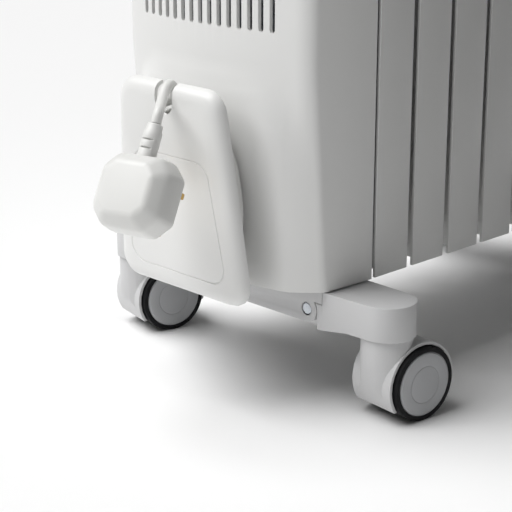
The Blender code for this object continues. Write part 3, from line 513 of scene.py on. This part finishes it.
def coilPoints(values):
    total = values["backTurns"] + values["shiftTurns"] + values["frontTurns"]
    count = round(total * values["pointsPerTurn"])
    points = []
    for i in range(count + 1):
        turns = total * i / count
        angle = radians(values["start"]) - 2 * pi * turns
        inward = max(values["backTurns"] - turns, 0)
        outward = max(turns - values["backTurns"] - values["shiftTurns"], 0)
        radius = values["firstTurn"] + values["turnPitch"] * (inward + outward)
        share = min(max((turns - values["backTurns"]) / values["shiftTurns"], 0), 1)
        y = values["backRow"] + (values["frontRow"] - values["backRow"]) * share
        x, y, z = turnPoint(values, angle, radius, y)
        if turns > total - 1 and cos(angle) > 0:
            x += values["slack"] * cos(angle) ** 4
        points.append((x, y, z))
    return points


def addCord(values, tip):
    route = [store @ Vector(point) for point in cordFromGland + coilPoints(values) + cordToNotch]
    route += [tip + Vector(offset) for offset in cordTail]
    curve = bpy.data.curves.new("mainsCord", "CURVE")
    curve.dimensions = "3D"
    curve.resolution_u = 5
    curve.bevel_depth = values["radius"]
    curve.bevel_resolution = 5
    curve.use_fill_caps = True
    spline = curve.splines.new("BEZIER")
    spline.bezier_points.add(len(route) - 1)
    for point, place in zip(spline.bezier_points, route):
        point.co = place
        point.handle_left_type = point.handle_right_type = "AUTO"
    cord = bpy.data.objects.new("mainsCord", curve)
    bpy.context.collection.objects.link(cord)
    print("cord length", round(sum(spline.calc_length() for spline in curve.splines), 3))
    return cord


stance = plugMatrix(plugValues)
mainsCord = addCord(cordValues, reliefEnd(plugValues, stance))
finish(mainsCord, "mainsCord", "body", whitePvc)
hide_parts("cord_coil", "cord_tail")
print("cord done")


# ---- pieces taken over from the frame: same shape, with rounded edges and their real finish

def finishedCopy(nodeName, material, edge=0.0, segments=3, angle=35, smooth=35):
    piece = copyPiece(nodes[nodeName], nodeName + "_piece")
    piece.parent = None
    choose(piece)
    bpy.ops.object.mode_set(mode="EDIT")
    bpy.ops.mesh.select_all(action="SELECT")
    bpy.ops.mesh.customdata_custom_splitnormals_clear()
    bpy.ops.mesh.remove_doubles(threshold=0.00002)
    bpy.ops.mesh.dissolve_limited(angle_limit=radians(0.8))
    bpy.ops.object.mode_set(mode="OBJECT")
    if edge:
        roundEdges(piece, edge, segments, angle)
    smoothByAngle(piece, smooth)
    finish(piece, nodeName + "_piece", bodyOf[nodeName], material)
    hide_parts(nodeName)
    return piece


edgeValues = {   # rounding of each kind of piece, in metres
    "arm": 0.0009,
    "foot_beam": 0.0007,
    "hood": 0.0006,
    "rear_cover": 0.0008,
    "control_fascia": 0.0005,
    "rocker": 0.0005,
    "fin": 0.0007,
    "hinge_screw": 0.0003,
    "switch_block": 0.0003,
    "cord_gland": 0.0004,
    "carry_handle": 0.0,
    "front_housing": 0.0,
}


def kindOf(nodeName):
    return next((kind for kind in edgeValues if kind in nodeName), None)


keptNodes = ["flange_gasket", "element_flange", "heating_element", "filler_plug", "chassis_plate",
             "terminal_block", "thermal_cutout", "thermostat_body", "pilot_lamp"]
for nodeName in keptNodes:
    nodes[nodeName].material_slots[0].material = materialOf[slotOf[nodeName]]

for nodeName in sorted(nodes):
    if nodeName.startswith(("cord_", "plug_", "wheel_", "thermostat_knob")) or nodeName in keptNodes:
        continue
    kind = kindOf(nodeName)
    finishedCopy(nodeName, materialOf[slotOf[nodeName]], edgeValues.get(kind, 0))
finishedCopy("cord_gland", blackPbt, edgeValues["cord_gland"])
print("carried-over pieces done")


# ---- castor wheels: a rubber tyre round a grey disc, one spun shape copied eight times

wheelValues = {
    "radius": 0.0243,
    "outer": 0.0199,
    "inner": 0.0034,
    "tyreWidth": 0.0031,   # of the black ring seen from the side
    "groove": 0.0005,
    "discRise": 0.0004,
    "discLip": 0.0011,   # width of the disc's rounded edge
    "ringRadius": 0.0125,   # of the fine ring on the disc
    "ringWidth": 0.0004,
}


def makeWheel(values):
    middle = (values["outer"] + values["inner"]) / 2
    deselect()
    bpy.ops.mesh.primitive_cylinder_add(vertices=80, radius=values["radius"],
                                        depth=values["outer"] - values["inner"],
                                        location=(middle, 0, 0), rotation=(0, pi / 2, 0))
    wheel = bpy.context.object
    bpy.ops.object.transform_apply(location=True, rotation=True, scale=True)
    selectFaces(wheel, lambda face: face.normal.x > 0.9)
    step(inward=values["tyreWidth"], along=(0.0002, 0, 0))
    step(inward=values["groove"], along=(-0.0010, 0, 0))
    step(inward=0.0002, along=(0.0009 + values["discRise"], 0, 0))
    step(inward=values["discLip"], along=(values["discRise"], 0, 0))
    disc = values["radius"] - values["tyreWidth"] - values["groove"] - 0.0002 - values["discLip"]
    step(inward=disc - values["ringRadius"])
    step(inward=values["ringWidth"], along=(-values["ringWidth"], 0, 0))
    step(inward=values["ringWidth"], along=(values["ringWidth"], 0, 0))
    selectFaces(wheel, lambda face: face.normal.x < -0.9)
    step(inward=values["tyreWidth"], along=(0.0004, 0, 0))
    step(inward=0.0006, along=(0.0045, 0, 0))
    step(inward=0.0100, along=(0.0010, 0, 0))
    step(inward=0.0006, along=(-0.0050, 0, 0))
    bpy.ops.object.mode_set(mode="OBJECT")
    roundEdges(wheel, 0.0003, 2, 40)
    discRadius = values["radius"] - values["tyreWidth"] - values["groove"] / 2
    for face in wheel.data.polygons:
        away = Vector((0, face.center.y, face.center.z)).length
        face.material_index = 1 if away < discRadius else 0
    smoothByAngle(wheel, 30)
    return wheel


def placeWheels(wheel, materials):
    for nodeName in [name for name in nodes if name.startswith("wheel_")]:
        joint = jointOf[bodyOf[nodeName]]
        middle = Vector(joint["pos_m"])
        low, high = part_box(nodeName)
        out = ((Vector(low) + Vector(high)) / 2 - middle).normalized()
        turn = out.to_track_quat("X", "Z").to_matrix().to_4x4()
        piece = copyPiece(wheel, nodeName + "_piece")
        piece.data.transform(Matrix.Translation(middle) @ turn)
        finish(piece, nodeName + "_piece", bodyOf[nodeName], *materials)
        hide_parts(nodeName)
    bpy.data.objects.remove(wheel)


discAbs = mouldedSurface("grey ABS wheel disc", dict(greyAbsValues, colour="#B9BABC", shade="#B2B3B5"),
                         IOR=1.53)
placeWheels(makeWheel(wheelValues), (tyreRubber, discAbs))
print("wheels done")


# ---- the moulded three-pin plug and its strain relief

def makePlug(values):
    wide, tall, rim = values["halfWidth"], values["height"], values["straightDepth"]
    deselect()
    bpy.ops.mesh.primitive_cube_add(size=1, location=(0, -rim / 2, -tall / 2),
                                    scale=(2 * wide, rim, tall))
    plug = bpy.context.object
    bpy.ops.object.transform_apply(location=True, rotation=True, scale=True)
    choose(plug)
    bpy.ops.object.mode_set(mode="EDIT")
    bpy.ops.mesh.select_mode(type="EDGE")
    bpy.ops.mesh.select_all(action="DESELECT")
    bpy.ops.object.mode_set(mode="OBJECT")
    for edge in plug.data.edges:
        a, b = (plug.data.vertices[i].co for i in edge.vertices)
        edge.select = abs(a.y - b.y) > 0.5 * rim
    bpy.ops.object.mode_set(mode="EDIT")
    bpy.ops.mesh.bevel(offset=values["cornerCut"], segments=1)
    selectFaces(plug, lambda face: face.normal.y < -0.9)
    front = values["depth"] - rim
    for share, narrower in values["frontSteps"]:
        bpy.ops.mesh.extrude_region_move(TRANSFORM_OT_translate={"value": (0, -front * share, 0)})
        bpy.ops.transform.resize(value=(narrower, 1, narrower), center_override=(0, 0, -tall * 0.5))
    bpy.ops.object.mode_set(mode="OBJECT")
    roundEdges(plug, values["edge"], 5, 12)
    smoothByAngle(plug, 50)
    return plug


def makeRelief(values):
    deselect()
    length, root = values["reliefLength"], values["reliefRoot"]
    bpy.ops.mesh.primitive_cylinder_add(vertices=40, radius=values["reliefRadius"], depth=length + root,
                                        location=(0, 0, (length - root) / 2))
    relief = bpy.context.object
    bpy.ops.object.transform_apply(location=True, rotation=True, scale=True)
    selectFaces(relief, lambda face: face.normal.z > 0.9)
    bpy.ops.transform.translate(value=(0, 0, -root - values["reliefRoll"]))
    for rise, share in ((0.0028, 0.97), (0.0010, 0.90), (0.0030, 0.96), (0.0007, 0.90)):
        bpy.ops.mesh.extrude_region_move(TRANSFORM_OT_translate={"value": (0, 0, rise)})
        bpy.ops.transform.resize(value=(share, share, 1), center_override=(0, 0, 0))
    bpy.ops.object.mode_set(mode="OBJECT")
    for height in values["slotPlaces"]:
        for side in (-1, 1):
            deselect()
            bpy.ops.mesh.primitive_cube_add(
                size=1, location=(0, side * values["reliefRadius"], height),
                scale=(values["reliefRadius"] * 1.7, values["slotDepth"] * 2, values["slotHeight"]))
            cutAway(relief, bpy.context.object)
    roundEdges(relief, 0.0002, 2, 30)
    smoothByAngle(relief, 35)
    return relief


def addPlug(values):
    body = makePlug(values)
    placeMesh(body, stance)
    finish(body, "plugBody", "body", whitePvc)
    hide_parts("plug_body")
    relief = makeRelief(values)
    placeMesh(relief, stance @ Matrix.Translation((0, -values["depth"] * values["middleDepth"], 0)))
    finish(relief, "plugStrainRelief", "body", whitePvc)
    pins = [finishedCopy(name, brass, 0.0003) for name in
            ("plug_line_pin", "plug_neutral_pin", "plug_earth_pin")]
    carrier = finishedCopy("plug_fuse_carrier", whitePvc, 0.0003)
    return [body, relief, carrier] + pins


plugPieces = addPlug(plugValues)
print("plug done")


# ---- the cord plate: its front carries a shallow engraved frame

plateValues = {
    "grooveHalfBottom": 0.0440,
    "grooveHalfTop": 0.0355,
    "grooveBottom": 0.0080,
    "grooveTop": 0.0860,
    "grooveCorner": 0.0120,
    "grooveRadius": 0.0005,
}


def addPlate(values):
    plate = finishedCopy("cord_wrap_plate", whiteAbs)
    corner = values["grooveCorner"]
    line = []
    low, high = values["grooveBottom"] + corner, values["grooveTop"] - corner
    wide, narrow = values["grooveHalfBottom"], values["grooveHalfTop"]
    for side, half, height, start in ((1, wide, low, -90), (1, narrow, high, 0),
                                      (-1, narrow, high, 90), (-1, wide, low, 180)):
        for turn in range(0, 91, 15):
            angle = radians(start + turn)
            line.append((side * (half - corner) + corner * cos(angle), -storeValues["plateFront"],
                         height + corner * sin(angle)))
    curve = bpy.data.curves.new("groove", "CURVE")
    curve.dimensions = "3D"
    curve.bevel_depth = values["grooveRadius"]
    curve.bevel_resolution = 2
    spline = curve.splines.new("POLY")
    spline.points.add(len(line) - 1)
    for point, place in zip(spline.points, line):
        point.co = (*(store @ Vector(place)), 1)
    spline.use_cyclic_u = True
    cutter = bpy.data.objects.new("groove", curve)
    bpy.context.collection.objects.link(cutter)
    choose(cutter)
    bpy.ops.object.convert(target="MESH")
    cutAway(plate, bpy.context.object)
    smoothByAngle(plate)


addPlate(plateValues)
print("plate done")


# ---- controls: a fluted knob, a printed scale round it and a pointer on the knob

controlValues = {
    "tilt": 24,
    "knobRadius": 0.0198,
    "knobTop": 0.0172,   # radius of its front face
    "knobHeight": 0.0148,
    "knobSides": 120,
    "flutes": 24,
    "fluteDepth": 0.00045,
    "dish": 0.0012,
    "pointerLength": 0.00735,
    "pointerMiddle": 0.0082,
    "pointerWidth": 0.0014,
    "lip": 0.0022,   # of the knob's front, round its dish
    "face": -0.0033,   # of the fascia, in the panel's frame
    "scaleInner": 0.0216,
    "scaleOuter": 0.0243,
    "scaleMarks": 13,
    "scaleWidth": 0.0007,
    "scaleSweep": 270,
    "clearance": 0.0005,   # between the fascia and the knob
    "print": 0.00012,   # how far print stands off its ground
}


def panelMatrix(values):
    middle = Vector(jointOf[bodyOf["thermostat_knob"]]["pos_m"])
    return Matrix.Translation(middle) @ Matrix.Rotation(radians(-values["tilt"]), 4, "X")


def addKnob(values, panel):
    height = values["knobHeight"]
    deselect()
    bpy.ops.mesh.primitive_cylinder_add(vertices=values["knobSides"], radius=values["knobRadius"],
                                        depth=height, location=(0, 0, height / 2))
    knob = bpy.context.object
    bpy.ops.object.transform_apply(location=True, rotation=True, scale=True)
    selectFaces(knob, lambda face: face.normal.z > 0.9)
    bpy.ops.transform.resize(value=(values["knobTop"] / values["knobRadius"],) * 2 + (1,))
    step(inward=values["lip"])
    step(inward=0.0010, along=(0, 0, -values["dish"]))
    bpy.ops.object.mode_set(mode="OBJECT")
    for vertex in knob.data.vertices:
        around = Vector((vertex.co.x, vertex.co.y))
        if around.length > values["knobTop"] - 0.0005:
            wave = cos(values["flutes"] * atan2(around.y, around.x))
            vertex.co.xy = around * (1 - values["fluteDepth"] * (1 + wave) / around.length)
    roundEdges(knob, 0.0004, 2, 40)
    smoothByAngle(knob, 40)
    foot = Matrix.Translation((0, values["face"] - values["clearance"], 0))
    placeMesh(knob, panel @ foot @ Matrix.Rotation(pi / 2, 4, "X"))
    finish(knob, "thermostatKnob", "knob", whiteAbs)
    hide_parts("thermostat_knob")


def printBars(name, body, bars, matrix):   # a bar is (x, y, z, width, height, turn)
    deselect()
    for x, y, z, width, height, turn in bars:
        bpy.ops.mesh.primitive_cube_add(size=1, location=(x, y, z), rotation=(0, turn, 0),
                                        scale=(width, 2 * controlValues["print"], height))
        bpy.context.object.name = "bar"
    deselect()
    made = [item for item in bpy.data.objects if item.name.startswith("bar")]
    for item in made:
        item.select_set(True)
    bpy.context.view_layer.objects.active = made[0]
    if len(made) > 1:
        bpy.ops.object.join()
    marks = bpy.context.object
    placeMesh(marks, matrix)
    finish(marks, name, body, darkPrint)


def addMarks(values, panel):
    count = values["scaleMarks"]
    middle = (values["scaleInner"] + values["scaleOuter"]) / 2
    length = values["scaleOuter"] - values["scaleInner"]
    bars = []
    for i in range(count):
        angle = radians(values["scaleSweep"] * (i / (count - 1) - 0.5))
        reach = length * (1 if i % 3 == 0 else 0.6)
        bars.append((middle * sin(angle), values["face"], middle * cos(angle), values["scaleWidth"],
                     reach, angle))
    printBars("knobScale", "body", bars, panel)
    top = values["face"] - values["clearance"] - values["knobHeight"] + values["dish"]
    pointer = (0, top, values["pointerMiddle"], values["pointerWidth"], values["pointerLength"], 0)
    printBars("knobPointer", "knob", [pointer], panel)


darkPrint = mouldedSurface("dark grey print", printValues, IOR=1.5)
panel = panelMatrix(controlValues)
addKnob(controlValues, panel)
addMarks(controlValues, panel)
print("controls done")


# ---- floor and light

stageValues = {
    "floor": "#FBFBFB",
    "floorShade": "#F8F8F8",
    "keyDirection": (-0.42, -0.46, 1.0),   # from the heater to the light
    "keySpread": 50,   # degrees, so that shadows are soft
    "keyPower": 3.35,
    "sky": 0.10,
    "cardPlace": (0.36, 0.42, 0.40),   # a grey card that shades the heater's right side
    "cardSize": (1.15, 0.80),
    "cardGrey": "#6A6A6A",
}


def addKey(values):
    bpy.ops.object.light_add(type="SUN", location=(0, 0, 3))
    lamp = bpy.context.object
    lamp.name = "key"
    lamp.data.energy = values["keyPower"]
    lamp.data.angle = radians(values["keySpread"])
    lamp.rotation_euler = Vector(values["keyDirection"]).to_track_quat("Z", "Y").to_euler()


def addStage(values):
    deselect()
    bpy.ops.mesh.primitive_plane_add(size=30)
    floor = bpy.context.object
    floor.name = "floor"
    material, tree, shader, place = startMaterial("matt floor paint", 0.85)
    cloudyColour(tree, shader, place,
                 {"cloud": 900, "colour": values["floor"], "shade": values["floorShade"]})
    floor.data.materials.append(material)
    bpy.ops.mesh.primitive_plane_add(size=1, location=values["cardPlace"], rotation=(0, pi / 2, pi))
    card = bpy.context.object
    card.name = "shadeCard"
    card.scale = (values["cardSize"][1], values["cardSize"][0], 1)
    material, tree, shader, place = startMaterial("grey card", 0.9)
    shader.inputs["Base Color"].default_value = hexToLinear(values["cardGrey"])
    card.data.materials.append(material)
    card.visible_camera = False   # it only takes light away, from every side of the heater
    card.visible_shadow = False
    addKey(values)
    world = bpy.data.worlds.new("studio")
    world.use_nodes = True
    world.node_tree.nodes["Background"].inputs["Color"].default_value = (1, 1, 1, 1)
    world.node_tree.nodes["Background"].inputs["Strength"].default_value = values["sky"]
    bpy.context.scene.world = world
    bpy.context.scene.view_settings.view_transform = "Standard"


addStage(stageValues)
print("stage done")
